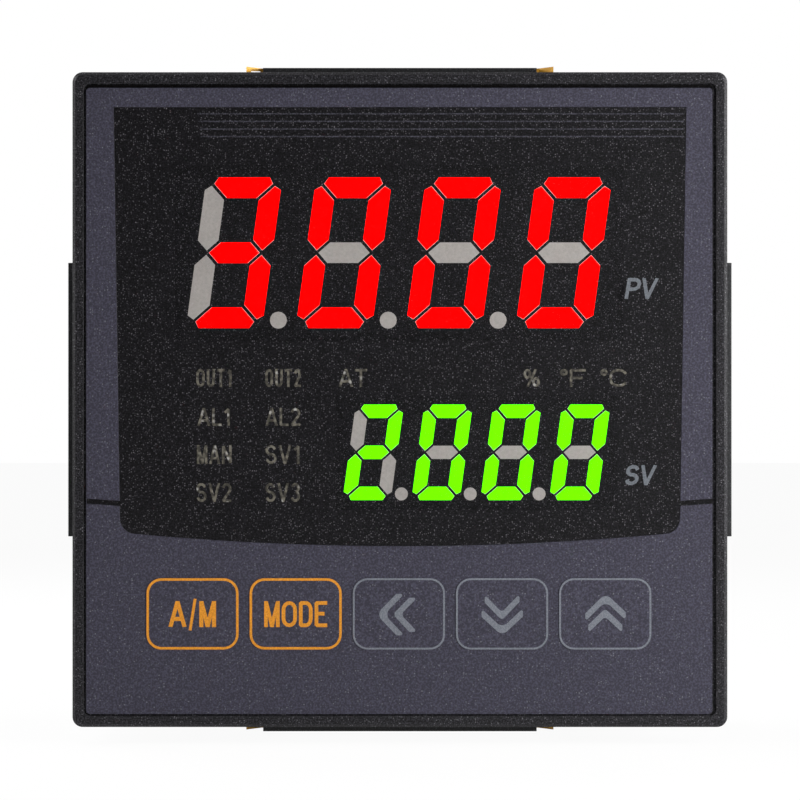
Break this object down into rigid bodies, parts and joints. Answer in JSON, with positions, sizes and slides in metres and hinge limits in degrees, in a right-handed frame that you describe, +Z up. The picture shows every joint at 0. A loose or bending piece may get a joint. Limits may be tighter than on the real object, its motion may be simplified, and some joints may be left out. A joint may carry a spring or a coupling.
{
  "type": "pid temperature controller",
  "caption": "Square panel-mounted temperature controller: framed face with two numeric displays and a row of keys under film, boxy black case with sliding clamp brackets, rear screw terminals.",
  "frame": {"origin": "centre of the plane where the gasket seats on the panel", "axes": "+Y goes into the panel, away from the face; +Z is up on the face; +X is to the right for someone facing it"},
  "size_m": [0.1006, 0.0705, 0.1006],
  "materials": {
    "black_plastic": "satin moulded ABS, fine grain",
    "case_plastic": "matt moulded PPO, fine grain",
    "film": "matt printed polyester film with a fine sparkle",
    "window": "smoked acrylic, fine grain",
    "display_block": "black reflector moulding",
    "pv_lit": "lit red diffuser",
    "sv_lit": "lit green diffuser",
    "bars_unlit": "unlit grey diffuser",
    "lamp": "small LED package",
    "key_plastic": "moulded key cap",
    "switch_body": "tactile switch body",
    "switch_plunger": "tactile switch plunger",
    "board": "green solder mask",
    "steel_screw": "zinc-plated steel",
    "nickel_screw": "nickel-plated steel",
    "nickel_plate": "nickel-plated brass",
    "gasket": "black nitrile rubber",
    "terminal_plastic": "black glass-filled polyester",
    "bracket_plastic": "black moulded polyamide",
    "spring_steel": "spring steel with a yellow-orange finish",
    "connector": "natural polyamide",
    "chip": "epoxy package",
    "core": "varnished steel laminations",
    "winding": "yellow tape over the winding",
    "relay": "blue relay housing",
    "capacitor": "sleeved aluminium can"
  },
  "bodies": {
    "controller": {"board_connectors": "connector", "case": "case_plastic", "controller_chip": "chip", "display_board": "board", "display_board_screws": "steel_screw", "display_window": "window", "filter_capacitors": "capacitor", "front_bezel": "black_plastic", "front_film": "film", "indicator_lamps": "lamp", "key_switches": "switch_body", "light_shield": "display_block", "output_relays": "relay", "panel_gasket": "gasket", "power_board": "board", "pv_bars_lit": "pv_lit", "pv_bars_unlit": "bars_unlit", "pv_display": "display_block", "signal_board": "board", "sv_bars_lit": "sv_lit", "sv_bars_unlit": "bars_unlit", "sv_display": "display_block", "terminal_block_left": "terminal_plastic", "terminal_block_right": "terminal_plastic", "terminal_plates_left": "nickel_plate", "terminal_plates_right": "nickel_plate", "terminal_screws_left": "nickel_screw", "terminal_screws_right": "nickel_screw", "transformer_core": "core", "transformer_winding": "winding"},
    "key_auto_manual": {"key_auto_manual": "key_plastic", "switch_plunger_auto_manual": "switch_plunger"},
    "key_mode": {"key_mode": "key_plastic", "switch_plunger_mode": "switch_plunger"},
    "key_shift": {"key_shift": "key_plastic", "switch_plunger_shift": "switch_plunger"},
    "key_down": {"key_down": "key_plastic", "switch_plunger_down": "switch_plunger"},
    "key_up": {"key_up": "key_plastic", "switch_plunger_up": "switch_plunger"},
    "clamp_top": {"bracket_top": "bracket_plastic", "leaf_spring_top": "spring_steel"},
    "clamp_right": {"bracket_right": "bracket_plastic", "leaf_spring_right": "spring_steel"},
    "clamp_bottom": {"bracket_bottom": "bracket_plastic", "leaf_spring_bottom": "spring_steel"},
    "clamp_left": {"bracket_left": "bracket_plastic", "leaf_spring_left": "spring_steel"}
  },
  "joints": [
    {"name": "auto_manual_press", "type": "slide", "parent": "controller", "child": "key_auto_manual", "axis": [0, 1, 0], "range_m": [0, 0.0003], "stiffness_N_per_m": 4000},
    {"name": "mode_press", "type": "slide", "parent": "controller", "child": "key_mode", "axis": [0, 1, 0], "range_m": [0, 0.0003], "stiffness_N_per_m": 4000},
    {"name": "shift_press", "type": "slide", "parent": "controller", "child": "key_shift", "axis": [0, 1, 0], "range_m": [0, 0.0003], "stiffness_N_per_m": 4000},
    {"name": "down_press", "type": "slide", "parent": "controller", "child": "key_down", "axis": [0, 1, 0], "range_m": [0, 0.0003], "stiffness_N_per_m": 4000},
    {"name": "up_press", "type": "slide", "parent": "controller", "child": "key_up", "axis": [0, 1, 0], "range_m": [0, 0.0003], "stiffness_N_per_m": 4000},
    {"name": "clamp_top_slide", "type": "slide", "parent": "controller", "child": "clamp_top", "axis": [0, 1, 0], "range_m": [-0.0062, 0.028]},
    {"name": "clamp_right_slide", "type": "slide", "parent": "controller", "child": "clamp_right", "axis": [0, 1, 0], "range_m": [-0.0062, 0.028]},
    {"name": "clamp_bottom_slide", "type": "slide", "parent": "controller", "child": "clamp_bottom", "axis": [0, 1, 0], "range_m": [-0.0062, 0.028]},
    {"name": "clamp_left_slide", "type": "slide", "parent": "controller", "child": "clamp_left", "axis": [0, 1, 0], "range_m": [-0.0062, 0.028]}
  ]
}
